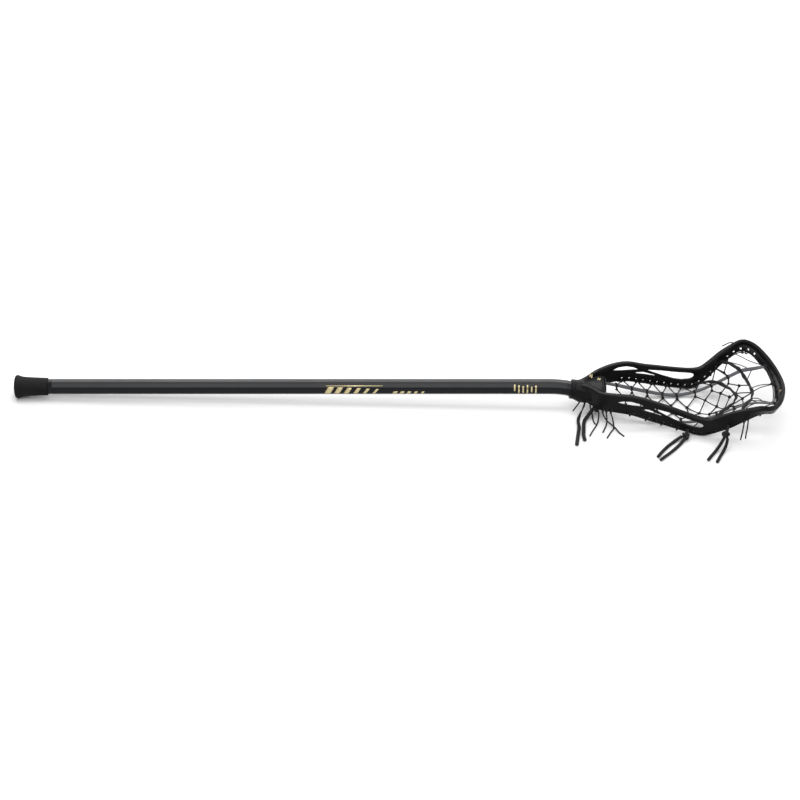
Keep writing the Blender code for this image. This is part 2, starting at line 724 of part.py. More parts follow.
def make_shooting_strings(shop, pocket):
    laces = {"shooting_string_lower": LOWER_LACE, "shooting_string_upper": UPPER_LACE}
    for name, (wall_x, middle_x) in laces.items():
        half = pocket.edge_at(wall_x * MM)[0] - LACE_SHORT
        points = []
        ups = []
        for share in np.linspace(-1, 1, 31):
            x = (middle_x - (middle_x - wall_x) * abs(share) ** 1.7) * MM
            ups.append(pocket.normal(x, half * share))
            points.append(pocket.point(x, half * share) + ups[-1] * LACE_LIFT)
        shop.add(name, strap_mesh(name, points, ups, LACE_WIDTH, LACE_THICKNESS), "lace")


def make_sidewall_strings(shop, frames):
    line = wall_line(frames, HOLE_HEIGHT, BAND + 2.2 * MM)
    line = [point for point in line if 852 * MM < point.x < 1046 * MM and point.y > 30 * MM]
    route = evenly(line, 7 * MM)
    for name, side in (("sidewall_string_left", 1), ("sidewall_string_right", -1)):
        points = [Vector((p.x, p.y * side, p.z)) for p in route]
        shop.add(name, cord_curve(name, points, STRING_RADIUS), "lace")


def make_scoop_string(shop):
    """The thin string that ties the mesh along the inner edge of the scoop."""
    arc = [(1061, 35.5, 6.4), (1065, 22, 4.9), (1067.6, 8, 4.0), (1067.6, -8, 4.0), (1065, -22, 4.9),
           (1061, -35.5, 6.4)]
    points = evenly(smooth_through([np.array(p) * MM for p in arc], 8), 5 * MM)
    shop.add("scoop_string", cord_curve("scoop_string", points, STRING_RADIUS), "lace")


def make_throat_lacing(shop):
    """The string that gathers the throat end of the mesh."""
    arc = [(836, 20, -21.5), (834.6, 12, -23.4), (834.2, 0, -24.4), (834.6, -12, -23.4), (836, -20, -21.5)]
    points = evenly(smooth_through([np.array(p) * MM for p in arc], 8), 4 * MM)
    shop.add("throat_lacing", cord_curve("throat_lacing", points, STRING_RADIUS), "lace")


def make_knots(shop):
    for name, place in KNOTS.items():
        def build(bm):
            bmesh.ops.create_icosphere(bm, subdivisions=2, radius=KNOT_RADIUS)

        knot = shop.add(name, mesh_from(name, build), "lace", in_frame=False)
        knot.location = Vector(place) * MM


def make_free_ends(shop):
    for name, (radius, route) in FREE_ENDS.items():
        line = smooth_through([np.array(p) * MM for p in route], 8)
        points = evenly(line, max(5 * radius, 4 * MM))
        colour = "thong" if name.startswith("thong") else "lace"
        shop.add(name, cord_curve(name, points, radius), colour, in_frame=False)


def lay_down(shop, frames):
    """Tips the stick onto its cap lip and its sidewalls and centres it on the origin."""
    lip_radius, lip_x = max(CAP_OUTLINE)
    lip = Vector((lip_x, 0, -lip_radius)) * MM
    lowest = min((frame[1] for frame in frames), key=lambda point: point.z)
    tilt = math.atan2(lip.z - lowest.z, lowest.x - lip.x)
    turn = Matrix.Rotation(-tilt, 4, "Y")
    lift = -(turn @ lip).z
    tip = turn @ frames[-1][0]
    start = turn @ Vector((0, 0, -12 * MM))
    middle = (start.x + tip.x) / 2
    shop.frame.matrix_world = Matrix.Translation((-middle, 0, lift)) @ turn


def main():
    clear_scene()
    shop = Workshop()
    frames = wall_frames()
    walls = make_sidewalls(shop, frames)
    hole, seat = screw_bores(shop)
    make_shaft(shop, hole)
    make_butt_cap(shop)
    make_head_frame(shop, frames, walls, hole, seat)
    make_head_screw(shop)
    pocket = Pocket(frames)
    make_pocket_mesh(shop, pocket)
    make_thongs(shop, pocket)
    make_shooting_strings(shop, pocket)
    make_sidewall_strings(shop, frames)
    make_scoop_string(shop)
    make_throat_lacing(shop)
    make_knots(shop)
    make_free_ends(shop)
    lay_down(shop, frames)


main()
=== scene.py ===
"""A women's lacrosse stick with a strung mesh pocket, lying face up on a pale floor.

The pieces are drawn in the stick's own frame in millimetres: x runs from the butt end to the
scoop, y to the left and z to the face side, with z = 0 on the shaft's axis. STICK carries that
frame into the row's frame. The loose string ends are drawn in the row's frame, with the floor at 0.
"""

import json
import math

import bmesh
import bpy
import numpy as np
from mathutils import Matrix, Vector
from mathutils.bvhtree import BVHTree


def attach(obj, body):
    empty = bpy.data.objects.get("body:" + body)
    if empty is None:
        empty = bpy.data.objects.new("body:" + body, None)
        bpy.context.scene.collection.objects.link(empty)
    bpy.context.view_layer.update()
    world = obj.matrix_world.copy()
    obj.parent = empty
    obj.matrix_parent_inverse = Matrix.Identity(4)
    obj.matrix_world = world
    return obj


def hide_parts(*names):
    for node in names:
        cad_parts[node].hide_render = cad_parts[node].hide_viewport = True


MM = 0.001

# Camera: level with the stick's length, looking across it from above its right side.
ELEVATION = math.radians(36)
DISTANCE = 3.0
LENS = 95.4
LOOK_X = 544.3
LOOK_LOWER = 19.0  # the picture's middle lies this far below the shaft

# Shaft, kink, socket and butt cap.
FLATS = 20.8
CORNER = 4.0
WALL = 2.0
CAP_SEAT = 52
SEAT_DEPTH = 0.15
KINK_START = 755
KINK_LENGTH = 25
KINK_ANGLE = math.radians(10)
MOUTH = np.array([785.5, 0, -3.7])
SHAFT_INSERT = 41
CAP_LENGTH = 46.3
CAP_FLOOR = 3.6
CAP_BORE = 21.4
CAP_OUTLINE = [(0.0, 0.0), (9.0, 0.0), (12.0, 0.0), (13.4, 0.15), (14.6, 0.5), (15.5, 1.1), (16.1, 1.9),
               (16.45, 2.8), (16.5, 3.4), (16.4, 4.3), (16.1, 5.4), (15.5, 6.8), (15.1, 8.0), (14.5, 10.0),
               (14.1, 12.0), (13.4, 22.0), (12.9, 33.0), (12.55, 42.0), (12.5, 45.4), (12.3, 46.1),
               (11.9, 46.3)]

# Pocket: heights of its middle line and of the two thongs, and the inner edge at the sidewalls.
MIDDLE_LINE = [(836, -15), (854, -22), (875, -29.5), (900, -35.5), (923, -39), (942, -40.4),
               (958, -40.2), (975, -36.5), (1000, -26), (1022, -18), (1043, -10.5), (1062, -1)]
THONG_LINE = [(836, 19.5, -8), (854, 25, -15.5), (875, 28, -23), (900, 30, -30.5), (923, 31, -36),
              (942, 32.5, -38.2), (958, 34, -36.6), (975, 34.5, -31), (993, 36, -22.5), (1018, 38, -8),
              (1035, 39.5, -1), (1058, 42, 3), (1064.5, 42.5, 3.4)]
WALL_BOTTOM = [(812, 16.0, -20.5), (823, 29.5, -19.8), (846, 38.3, -18.7), (868, 43.8, -19.2),
               (893, 48.2, -25.6), (917, 51.2, -32.0), (943, 55.2, -38.9), (965, 59.4, -43.0),
               (978, 63.3, -38.6), (990, 68.4, -30.0), (1004, 75.9, -18.0), (1019, 80.0, -5.2),
               (1038, 78.4, 5.0), (1049, 72.5, 4.6), (1063, 57.5, -4.2), (1071, 37.0, -5.8),
               (1073.5, 0.0, -5.0)]
BAND = 4.2
HOLE_HEIGHT = 5
ON_FLOOR = (942, 986)  # the sidewalls rest on the floor here, so no stitch passes under them
# A stitch round the sidewall's lower edge: distance inside its outer face, height above its edge.
STITCH = ((-0.7, 5.5), (-1.0, 2.5), (0.2, -0.9), (2.5, -1.0), (5.2, 0.8), (5.2, 3.5))
# The end of the left sidewall string, which stands up stiffly outside the left shoulder.
STIFF_END = [(1027, 79, 18.0), (1021, 82.5, 18.4), (1015, 83.4, 15.4), (1009, 83.2, 12.2)]

# Net: the thong wraps, then the knots of the looser part in front of the scoop.
WRAPS = [853.6, 876, 898.5, 921, 942, 968, 991, 1014]
STRING = 0.88
KNOT = 1.55

# Routes of the loose ends in the row's frame: radius, thickness share, points.
THIN = 1.0
THONG_END = 2.6
LACE_END = 2.3
LOOSE_ENDS = {
    "thong_tail_left": (THONG_END, [(262, -12, 16), (260, -15, 11), (256, -22, 5.5), (253, -31, 2.8),
                                    (253, -48, 2.7), (250, -69, 2.7), (247, -89, 2.7)]),
    "thong_tail_right": (THONG_END, [(276, -17, 15), (272, -20, 11), (267, -25, 6), (262, -32, 3),
                                     (260, -42, 2.7), (259, -55, 2.7), (258, -66, 2.7), (259, -78, 2.7)]),
    "throat_tail_1": (THIN, [(270, -12, 15), (271, -15, 11), (273, -20, 6), (274, -27, 1.6),
                             (275.5, -35, 1.1), (277, -38, 1.1)]),
    "throat_tail_2": (THIN, [(281, -22, 14), (282, -25, 9), (281, -32, 3), (278, -41, 1.1),
                             (272, -54, 1.1), (267, -66, 1.1)]),
    "throat_tail_3": (THIN, [(286, -24, 15), (289, -29, 9), (293, -34, 4.8), (298, -41, 4),
                             (303, -48, 3.7), (309, -57, 1.4), (315, -65, 1.1)]),
    "throat_tail_4": (THIN, [(291, -27, 16), (293, -29, 8), (293.5, -32, 1.8), (292, -40, 1.1),
                             (286, -57, 1.1)]),
    "throat_tail_5": (THIN, [(297, -29, 17), (300, -31, 10), (302, -34, 3.2), (302.5, -40, 1.1),
                             (302, -47, 1.1), (297, -57, 1.1), (291, -70, 1.1)]),
    "shooting_tail_lower_1": (LACE_END, [(394.4, -70, 6.2), (389, -73, 4), (382, -79, 2.5),
                                         (374, -88, 2.4), (366, -99, 2.4), (358, -112, 2.4)]),
    "shooting_tail_lower_2": (LACE_END, [(397.2, -75, 4.4), (393, -81, 2.9), (387, -89, 2.4),
                                         (379, -99, 2.4), (370, -109, 2.4), (361, -119, 2.4)]),
    "shooting_tail_upper_1": (LACE_END, [(450, -89, 18), (447.6, -90.6, 13), (444, -93, 7),
                                         (439, -98, 2.6), (433, -107, 2.4), (427, -117, 2.4)]),
    "shooting_tail_upper_2": (LACE_END, [(455.4, -89, 18), (455, -90.6, 13), (453, -94, 7),
                                         (449, -100, 2.6), (444, -110, 2.4), (439, -121, 2.4)]),
    "sidewall_tail_1": (THIN, [(475, -88.5, 50), (475, -89.2, 43), (474.6, -89.4, 34),
                               (474.2, -89.2, 24), (473.6, -88.8, 17)]),
    "sidewall_tail_2": (THIN, [(480, -89, 52), (480.4, -89.6, 45), (480.4, -89.8, 36), (480, -89.6, 27),
                               (480.2, -89.2, 20)]),
}
KNOTS = {"shooting_knot_lower": (401, -68, 6.2), "shooting_knot_upper": (453, -86, 25)}

# Base colour, roughness, metallic, sheen and specular level of each finish.
COLOURS = {
    "shaft": ((0.0030, 0.0034, 0.0044), 0.30, 0.0, 0.0, 0.08),
    "rubber": ((0.004, 0.004, 0.0045), 0.55, 0.0, 0.0, 0.09),
    "head": ((0.0026, 0.0026, 0.0030), 0.36, 0.0, 0.0, 0.09),
    "screw": ((0.16, 0.16, 0.17), 0.35, 1.0, 0.0, 0.5),
    "thong": ((0.034, 0.035, 0.038), 0.85, 0.0, 0.15, 0.15),
    "mesh": ((0.0045, 0.0045, 0.005), 0.6, 0.0, 0.0, 0.12),
    "lace": ((0.006, 0.006, 0.0065), 0.8, 0.0, 0.03, 0.12),
    "gold": ((0.50, 0.42, 0.22), 0.35, 0.45, 0.0, 0.5),
}

# How finely the head is remeshed, and the rounds of smoothing that soften its edges.
HEAD_VOXEL = 0.6
HEAD_SMOOTHING = 10

# Plain printed bars on the throat and the scoop: x, y, width along x, height along y, slant.
HEAD_MARKS = ((813.0, 11.5, 1.2, 4.5, 1.2), (815.4, 11.5, 1.2, 4.5, 1.2), (824.5, 11.5, 1.2, 4.5, 1.2),
              (827.0, 11.5, 1.2, 4.5, 1.2), (1079.0, -16.5, 2.2, 1.4, 0.0), (1079.0, -13.7, 2.2, 1.4, 0.0))
ABOVE_HEAD = 60  # higher than any point of the head
MARK_PROUD = 0.07
MARK_SUNK = 0.2

# Stage: the floor's colour, the surrounding light, and each softbox's place, size and power.
FLOOR_COLOUR = (0.56, 0.56, 0.56, 1)
SURROUND = 0.8
SOFTBOXES = (("overhead", (0, 0.1, 2.3), (2.6, 1.5), 56),
             ("behind", (0, 2.05, 1.6), (2.8, 0.95), 52),
             ("front", (0, -1.53, 2.1), (2.6, 0.9), 38))

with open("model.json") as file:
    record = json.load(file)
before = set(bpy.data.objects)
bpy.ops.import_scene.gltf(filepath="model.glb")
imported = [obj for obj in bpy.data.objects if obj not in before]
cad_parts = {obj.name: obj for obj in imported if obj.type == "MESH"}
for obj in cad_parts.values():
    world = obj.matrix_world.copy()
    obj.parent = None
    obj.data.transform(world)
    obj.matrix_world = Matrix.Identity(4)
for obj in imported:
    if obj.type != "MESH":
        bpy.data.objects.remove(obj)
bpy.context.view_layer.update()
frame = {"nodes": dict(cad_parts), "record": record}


def stick_matrix(record):
    """The stick's frame, from the mounts on its butt end and on its top flat."""
    mounts = {mount["name"]: mount for mount in record["mounts"]}
    along = -Vector(mounts["butt_end"]["axis"])
    up = Vector(mounts["shaft_top_flat"]["axis"])
    origin = Vector(mounts["butt_end"]["pos_m"])
    origin.y = 0
    matrix = Matrix.Identity(4)
    for column, vector in enumerate((along, Vector((0, 1, 0)), up, origin)):
        for row in range(3):
            matrix[row][column] = vector[row]
    return matrix


STICK = stick_matrix(frame["record"])


# ---------------------------------------------------------------- camera

def make_camera():
    data = bpy.data.cameras.new("camera")
    data.lens = LENS
    data.sensor_width = 36
    camera = bpy.data.objects.new("camera", data)
    bpy.context.scene.collection.objects.link(camera)
    back = Vector((0, -math.cos(ELEVATION), math.sin(ELEVATION)))
    up = Vector((0, math.sin(ELEVATION), math.cos(ELEVATION)))
    target = Vector((LOOK_X, 0, 0)) * MM - up * LOOK_LOWER * MM
    place = target + back * DISTANCE
    local = Matrix.Identity(4)
    for column, vector in enumerate((Vector((1, 0, 0)), up, back, place)):
        for row in range(3):
            local[row][column] = vector[row]
    camera.matrix_world = STICK @ local
    bpy.context.scene.camera = camera


# ---------------------------------------------------------------- curves

def smooth_through(points, steps):
    """Centripetal Catmull-Rom points through the given ones, with steps in each stretch."""
    points = [np.array(p, float) for p in points]
    points = [2 * points[0] - points[1]] + points + [2 * points[-1] - points[-2]]
    out = []
    for p0, p1, p2, p3 in zip(points, points[1:], points[2:], points[3:]):
        times = [0.0]
        for a, b in ((p0, p1), (p1, p2), (p2, p3)):
            times.append(times[-1] + math.sqrt(np.linalg.norm(b - a)))
        t0, t1, t2, t3 = times
        for t in np.linspace(t1, t2, steps, endpoint=False):
            a1 = ((t1 - t) * p0 + (t - t0) * p1) / (t1 - t0)
            a2 = ((t2 - t) * p1 + (t - t1) * p2) / (t2 - t1)
            a3 = ((t3 - t) * p2 + (t - t2) * p3) / (t3 - t2)
            b1 = ((t2 - t) * a1 + (t - t0) * a2) / (t2 - t0)
            b2 = ((t3 - t) * a2 + (t - t1) * a3) / (t3 - t1)
            out.append(((t2 - t) * b1 + (t - t1) * b2) / (t2 - t1))
    out.append(points[-2])
    return np.array(out)


def lengths_along(points):
    steps = np.linalg.norm(np.diff(points, axis=0), axis=1)
    return np.concatenate([[0], np.cumsum(steps)])


def evenly(points, spacing):
    """Points on the same line, spaced evenly along it."""
    points = np.array(points, float)
    along = lengths_along(points)
    count = max(2, round(along[-1] / spacing) + 1)
    wanted = np.linspace(0, along[-1], count)
    return np.stack([np.interp(wanted, along, points[:, k]) for k in range(3)], axis=1)


def route(points, spacing, steps=8):
    return evenly(smooth_through(points, steps), spacing)


def unit(vectors):
    vectors = np.asarray(vectors, float)
    return vectors / np.maximum(np.linalg.norm(vectors, axis=-1, keepdims=True), 1e-12)


def directions(points):
    return unit(np.gradient(np.asarray(points, float), axis=0))


# ---------------------------------------------------------------- meshes

class Piece:
    """Collects skinned rows of rings into one mesh, in millimetres."""

    def __init__(self):
        self.points = []
        self.faces = []
        self.uvs = []

    def skin(self, rings, along=None, caps=True, closed=True):
        """Joins neighbouring rings with faces; u goes round from 0 to 1 and v is the length in mm."""
        rings = np.asarray(rings, float)
        rows, count = rings.shape[:2]
        if along is None:
            along = lengths_along(rings.mean(axis=1))
        base = len(self.points)
        self.points.extend(rings.reshape(-1, 3))
        last = count if closed else count - 1
        for j in range(rows - 1):
            for i in range(last):
                k = (i + 1) % count
                one = base + j * count
                two = one + count
                self.faces.append((one + i, one + k, two + k, two + i))
                self.uvs.append([(i / count, along[j]), ((i + 1) / count, along[j]),
                                 ((i + 1) / count, along[j + 1]), (i / count, along[j + 1])])
        if caps:
            for j in (0, rows - 1):
                start = base + j * count
                self.faces.append(tuple(range(start, start + count)))
                self.uvs.append([(i / count, along[j]) for i in range(count)])

    def tube(self, points, radius, flat=1.0, sides=8, ups=None, scale=None, square=False):
        """A cord of this half width along the points; flat is its thickness over its width."""
        points = np.asarray(points, float)
        tangents = directions(points)
        if ups is None:
            ups = carried_ups(tangents)
        sideways = unit(np.cross(ups, tangents))
        ups = np.cross(tangents, sideways)
        scale = np.ones(len(points)) if scale is None else np.asarray(scale, float)
        centres = [points[0] - tangents[0] * radius * 0.4, points[0] - tangents[0] * radius * 0.25, *points,
                   points[-1] + tangents[-1] * radius * 0.25, points[-1] + tangents[-1] * radius * 0.4]
        shares = [scale[0] * 0.6, scale[0] * 0.88, *scale, scale[-1] * 0.88, scale[-1] * 0.6]
        index = [0, 0, *range(len(points)), len(points) - 1, len(points) - 1]
        rings = []
        for centre, share, i in zip(centres, shares, index):
            ring = []
            for side in range(sides):
                angle = 2 * math.pi * (side + 0.5) / sides
                across, above = math.cos(angle), math.sin(angle)
                if square:
                    across = math.copysign(abs(across) ** 0.5, across)
                    above = math.copysign(abs(above) ** 0.5, above)
                ring.append(centre + sideways[i] * across * radius * share
                            + ups[i] * above * radius * flat * share)
            rings.append(ring)
        self.skin(rings)

    def mesh(self, name, matrix):
        mesh = bpy.data.meshes.new(name)
        world = np.array(matrix)
        points = fuller(self.points) if matrix == STICK else np.array(self.points)
        points = points * MM @ world[:3, :3].T + world[:3, 3]
        mesh.from_pydata([tuple(p) for p in points], [], self.faces)
        layer = mesh.uv_layers.new(name="UVMap")
        layer.data.foreach_set("uv", np.array([c for face in self.uvs for c in face]).ravel())
        bm = bmesh.new()
        bm.from_mesh(mesh)
        bmesh.ops.recalc_face_normals(bm, faces=bm.faces)
        bm.to_mesh(mesh)
        bm.free()
        mesh.shade_smooth()
        return mesh


def carried_ups(tangents):
    """A direction square to the line, carried along it without twisting."""
    guess = np.array([0, 0, 1.0]) if abs(tangents[0][2]) < 0.9 else np.array([0, 1.0, 0])
    ups = [unit(guess - tangents[0] * (guess @ tangents[0]))]
    for tangent in tangents[1:]:
        up = ups[-1] - tangent * (ups[-1] @ tangent)
        ups.append(unit(up))
    return np.array(ups)


def fuller(points):
    """Points of the stick's frame, with the scoop's tip a little blunter and its shoulders fuller."""
    points = np.array(points, float)
    tip = np.clip((points[:, 0] - 1042) / 32, 0, 1)
    tip = tip * tip * (3 - 2 * tip)
    shoulder = np.exp(-((points[:, 0] - 1032) / 11) ** 2)
    points[:, 0] += 1.4 * tip
    points[:, 1] *= 1 + 0.05 * tip + 0.02 * shoulder
    points[:, 2] += 0.9 * shoulder - 0.6 * tip
    return points


def add(name, piece, finish, body="stick", nodes=(), matrix=None):
    """Puts a piece in the scene on its body, in place of the CAD nodes it stands for."""
    matrix = STICK if matrix is None else matrix
    mesh = piece if isinstance(piece, bpy.types.Mesh) else piece.mesh(name, matrix)
    obj = bpy.data.objects.new(name, mesh)
    bpy.context.scene.collection.objects.link(obj)
    mesh.materials.clear()
    mesh.materials.append(MATERIALS[finish])
    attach(obj, body)
    if nodes:
        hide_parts(*nodes)
    return obj


# ---------------------------------------------------------------- materials

class Finish:
    """A material with a Principled shader and small helpers to wire its texture."""

    def __init__(self, name):
        colour, roughness, metallic, sheen, specular = COLOURS[name]
        self.colour = colour
        self.roughness = roughness
        self.material = bpy.data.materials.new("finish_" + name)
        self.material.use_nodes = True
        self.tree = self.material.node_tree
        self.shader = self.tree.nodes["Principled BSDF"]
        self.put("Base Color", (*colour, 1))
        self.put("Roughness", roughness)
        self.put("Metallic", metallic)
        self.put("Sheen Weight", sheen)
        self.put("Sheen Roughness", 0.5)
        self.put("Specular IOR Level", specular)
        coords = self.node("ShaderNodeTexCoord")
        self.object = coords.outputs["Object"]
        self.uv = coords.outputs["UV"]

    def put(self, socket, value):
        self.shader.inputs[socket].default_value = value

    def node(self, kind, **settings):
        node = self.tree.nodes.new(kind)
        for key, value in settings.items():
            setattr(node, key, value)
        return node

    def link(self, source, target):
        self.tree.links.new(source, target)

    def math(self, operation, a, b=None):
        node = self.node("ShaderNodeMath", operation=operation)
        for socket, value in zip(node.inputs, (a, b)):
            if isinstance(value, (int, float)):
                socket.default_value = value
            elif value is not None:
                self.link(value, socket)
        return node.outputs[0]

    def noise(self, scale, detail=4.0, stretch=None, source=None):
        node = self.node("ShaderNodeTexNoise")
        node.inputs["Scale"].default_value = scale
        node.inputs["Detail"].default_value = detail
        vector = source or self.object
        if stretch:
            mapping = self.node("ShaderNodeMapping")
            mapping.inputs["Scale"].default_value = stretch
            self.link(vector, mapping.inputs["Vector"])
            vector = mapping.outputs["Vector"]
        self.link(vector, node.inputs["Vector"])
        return node.outputs["Fac"]

    def spread(self, value, low, high, socket):
        """Maps a 0-1 value to a range on one of the shader's sockets."""
        node = self.node("ShaderNodeMapRange")
        node.inputs["From Min"].default_value = 0.3
        node.inputs["From Max"].default_value = 0.7
        node.inputs["To Min"].default_value = low
        node.inputs["To Max"].default_value = high
        self.link(value, node.inputs["Value"])
        self.link(node.outputs["Result"], self.shader.inputs[socket])

    def tint(self, value, dark, light):
        """Colours the surface between two multiples of its base colour."""
        ramp = self.node("ShaderNodeValToRGB")
        for element, share, place in zip(ramp.color_ramp.elements, (dark, light), (0.3, 0.7)):
            element.position = place
            element.color = (*[min(1.0, c * share) for c in self.colour], 1)
        self.link(value, ramp.inputs["Fac"])
        self.link(ramp.outputs["Color"], self.shader.inputs["Base Color"])

    def bump(self, value, distance_mm, strength=1.0):
        node = self.node("ShaderNodeBump")
        node.inputs["Distance"].default_value = distance_mm * MM
        node.inputs["Strength"].default_value = strength
        self.link(value, node.inputs["Height"])
        self.link(node.outputs["Normal"], self.shader.inputs["Normal"])

    def braid(self, around, pitch):
        """Two sets of yarns that wind round a cord in opposite directions."""
        split = self.node("ShaderNodeSeparateXYZ")
        self.link(self.uv, split.inputs[0])
        turn = self.math("MULTIPLY", split.outputs[0], around * math.tau)
        climb = self.math("MULTIPLY", split.outputs[1], math.tau / pitch)
        one = self.math("SINE", self.math("ADD", turn, climb))
        two = self.math("SINE", self.math("SUBTRACT", turn, climb))
        high = self.math("MAXIMUM", one, two)
        return self.math("MULTIPLY_ADD", high, 0.5)


def make_materials():
    made = {}

    shaft = Finish("shaft")
    fibres = shaft.noise(1.0, 6.0, stretch=(60, 900, 900))
    shaft.tint(fibres, 0.85, 1.25)
    shaft.spread(shaft.noise(40.0), 0.26, 0.36, "Roughness")
    shaft.bump(fibres, 0.02, 0.25)
    shaft.put("Coat Weight", 0.15)
    shaft.put("Coat Roughness", 0.2)
    made["shaft"] = shaft

    rubber = Finish("rubber")
    grain = rubber.noise(900.0)
    rubber.tint(rubber.noise(60.0), 0.8, 1.5)
    rubber.spread(grain, 0.55, 0.72, "Roughness")
    rubber.bump(grain, 0.12, 0.5)
    made["rubber"] = rubber

    head = Finish("head")
    pores = head.noise(700.0, 3.0)
    head.tint(head.noise(25.0), 0.85, 1.3)
    head.spread(head.noise(90.0, 5.0), 0.33, 0.45, "Roughness")
    head.bump(pores, 0.05, 0.35)
    made["head"] = head

    screw = Finish("screw")
    marks = screw.noise(1500.0, 6.0)
    screw.tint(marks, 0.7, 1.2)
    screw.spread(marks, 0.28, 0.45, "Roughness")
    screw.bump(marks, 0.02, 0.3)
    made["screw"] = screw

    braids = (("thong", 6, 3.2, 0.35), ("mesh", 3, 1.6, 0.18), ("lace", 5, 2.4, 0.3))
    for name, around, pitch, depth in braids:
        cord = Finish(name)
        weave = cord.braid(around, pitch)
        fuzz = cord.noise(2500.0, 3.0)
        cord.tint(cord.math("MULTIPLY_ADD", weave, 0.75), 0.55, 1.6)
        cord.spread(fuzz, cord.roughness - 0.1, min(1.0, cord.roughness + 0.1), "Roughness")
        height = cord.math("ADD", weave, cord.math("MULTIPLY", fuzz, 0.5))
        cord.bump(height, depth, 0.8)
        made[name] = cord

    gold = Finish("gold")
    gold.tint(gold.noise(400.0), 0.8, 1.15)
    gold.spread(gold.noise(1200.0), 0.28, 0.45, "Roughness")
    made["gold"] = gold
    return {name: finish.material for name, finish in made.items()}


MATERIALS = make_materials()


# ---------------------------------------------------------------- loose ends

def overhand(centre, size, turn, count=72):
    """The line of a tied knot: a trefoil pressed a little flat."""
    line = []
    for t in np.linspace(0, math.tau, count, endpoint=False):
        x = math.sin(t) + 2 * math.sin(2 * t)
        y = math.cos(t) - 2 * math.cos(2 * t)
        z = -1.15 * math.sin(3 * t)
        line.append((x * size, y * size, z * size))
    spin = np.array(Matrix.Rotation(turn[0], 3, "X") @ Matrix.Rotation(turn[1], 3, "Y")
                    @ Matrix.Rotation(turn[2], 3, "Z"))
    line = np.array(line) @ spin.T + np.array(centre)
    return np.vstack([line, line[:1]])


def lean(line, first, last):
    """Directions that turn from one to the other along a strap, so that it twists as it drops."""
    share = np.clip(lengths_along(line) / lengths_along(line)[-1] * 1.7, 0, 1)[:, None]
    return np.array(first) * (1 - share) + np.array(last) * share


def make_loose_ends():
    identity = Matrix.Identity(4)
    for name, (radius, points) in LOOSE_ENDS.items():
        line = route(points, max(0.6 * radius, 1.0))
        piece = Piece()
        flat = {THIN: 1.0, THONG_END: 0.34, LACE_END: 0.66}[radius]
        ups = None
        if name == "thong_tail_left":
            ups = lean(line, (1, 0.25, 0.1), (0, 0, 1))
        elif name == "thong_tail_right":
            ups = lean(line, (-0.2, -0.9, 0.5), (0.1, 0, 1))
        elif radius == LACE_END:
            ups = lean(line, (0.3, -0.6, 0.7), (0, 0, 1))
        wobble = 1 + 0.04 * np.sin(np.arange(len(line)) * 1.7)
        piece.tube(line, radius, flat, 12 if radius > THIN else 8, ups=ups, scale=wobble,
                   square=radius == THONG_END)
        obj = add(name + "_cord", piece, "lace", nodes=[name], matrix=identity)


def make_throat_ties(pocket):
    """Where the throat's loose ends come from: a tied lump and the strings that run up to the head."""
    identity = Matrix.Identity(4)
    piece = Piece()
    piece.tube(evenly(overhand((277.5, -25.5, 17.5), 0.95, (0.9, 0.3, 0.2)), 0.8), 1.5, 0.9, 8)
    piece.tube(route([(256.5, -6, 18), (252, -11, 13.5), (246, -17, 8)], 1.0), THIN, sides=8)
    for name, (radius, points) in LOOSE_ENDS.items():
        start = np.array(points[0], float)
        if name.startswith("throat_tail") and name[-1] in "345":
            x = start[0] - STICK.translation.x / MM
            wall_y, wall_z = pocket.wall_at(x, inside=0, height=0)
            foot = np.array(STICK @ (Vector((x, -wall_y, wall_z)) * MM)) / MM
            points = [start, foot + (0, -0.6, -1.5), foot + (0.5, -1.3, 3), foot + (1.5, -1.2, 8),
                      foot + (2.2, 1.0, 10)]
        elif name.startswith("throat_tail"):
            points = [start, start + (0.3, 2.5, 3.5), start + (0.8, 6, 8)]
        elif name.startswith("thong_tail"):
            points = [start, start + (0.5, 2, 3), start + (1.0, 5, 8)]
        else:
            continue
        piece.tube(route(points, 1.2), min(radius, 1.5), 0.8, 8)
    add("throat_ties", piece, "lace", matrix=identity)


# ---------------------------------------------------------------- shaft and cap

def octagon(across, corner, steps=6):
    """Outline of an octagon with rounded corners, as (sideways, up) pairs."""
    inner = across / 2 - corner
    reach = inner / math.cos(math.pi / 8)
    outline = []
    for side in range(8):
        middle = math.pi / 8 + side * math.pi / 4
        for k in range(steps + 1):
            angle = middle + (k / steps - 0.5) * math.pi / 4
            outline.append((reach * math.cos(middle) + corner * math.cos(angle),
                            reach * math.sin(middle) + corner * math.sin(angle)))
    return outline


def ring_at(centre, angle, outline):
    up = np.array([math.sin(angle), 0, math.cos(angle)])
    return [centre + np.array([0, side, 0]) + up * height for side, height in outline]


def shaft_stations():
    """(centre, slope, size change) along the shaft."""
    stations = [(np.array([4.0, 0, 0]), 0.0, -2 * SEAT_DEPTH),
                (np.array([CAP_SEAT, 0, 0]), 0.0, -2 * SEAT_DEPTH)]
    stations += [(np.array([x, 0, 0]), 0.0, 0.0) for x in (52.5, 53.5, *range(80, 750, 30), 752)]
    radius = KINK_LENGTH / math.sin(KINK_ANGLE)
    for k in range(15):
        angle = KINK_ANGLE * k / 14
        place = np.array([KINK_START + radius * math.sin(angle), 0, -radius * (1 - math.cos(angle))])
        stations.append((place, angle, 0.0))
    along = np.array([math.cos(KINK_ANGLE), 0, -math.sin(KINK_ANGLE)])
    for reach in (-2, 20, SHAFT_INSERT):
        stations.append((MOUTH + along * reach, KINK_ANGLE, 0.0))
    return stations


